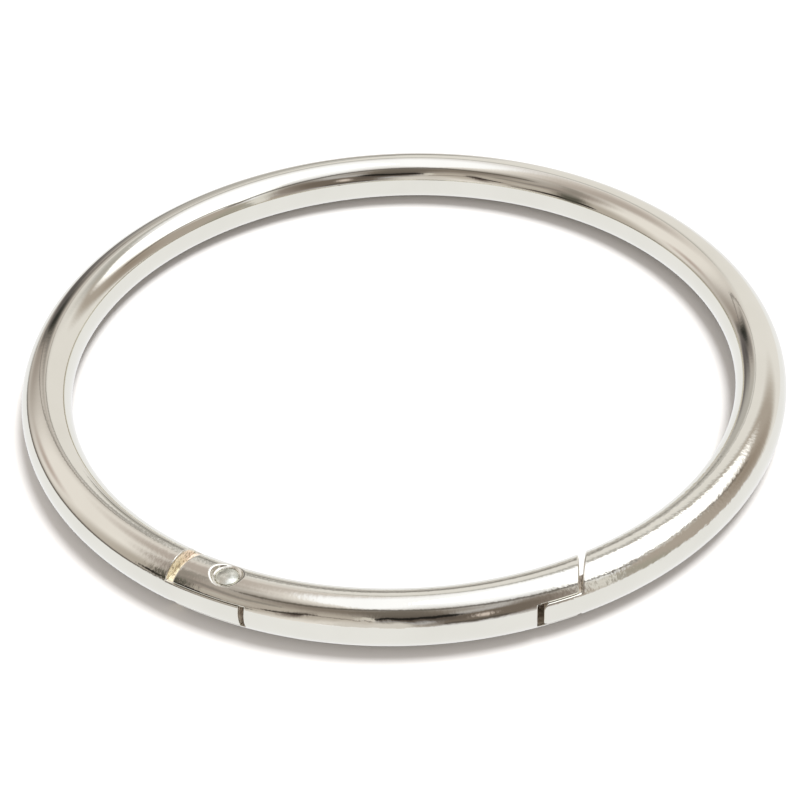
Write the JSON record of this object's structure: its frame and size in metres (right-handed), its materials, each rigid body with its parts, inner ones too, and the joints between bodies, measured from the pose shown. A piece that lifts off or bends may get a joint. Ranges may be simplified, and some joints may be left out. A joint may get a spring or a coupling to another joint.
{
  "type": "round carabiner",
  "caption": "Round spring-gate ring of round bar, with an arc-shaped hinged gate that opens inwards and springs shut over a nose tab.",
  "frame": {"origin": "the ring's centre, in its mid-plane", "axes": "+Z along the ring's axis, -Y from the centre to the middle of the gate, hinge pin on the -X side"},
  "size_m": [0.0574, 0.0574, 0.0036],
  "materials": {
    "nickel_plate": "bright nickel plate on die-cast zinc",
    "pin_steel": "riveted steel pin, hammered crown",
    "spring_steel": "bright drawn spring wire"
  },
  "bodies": {
    "ring": {"ring_body": "nickel_plate"},
    "gate": {"gate": "nickel_plate", "hinge_pin": "pin_steel", "gate_spring": "spring_steel"}
  },
  "joints": [
    {"name": "gate_hinge", "type": "hinge", "parent": "ring", "child": "gate", "pos_m": [-0.01005, -0.0249, 0], "axis": [0, 0, 1], "range_deg": [0, 40], "stiffness_Nm_per_rad": 0.015, "springref_deg": -20.05, "deforming": ["gate_spring"]}
  ]
}
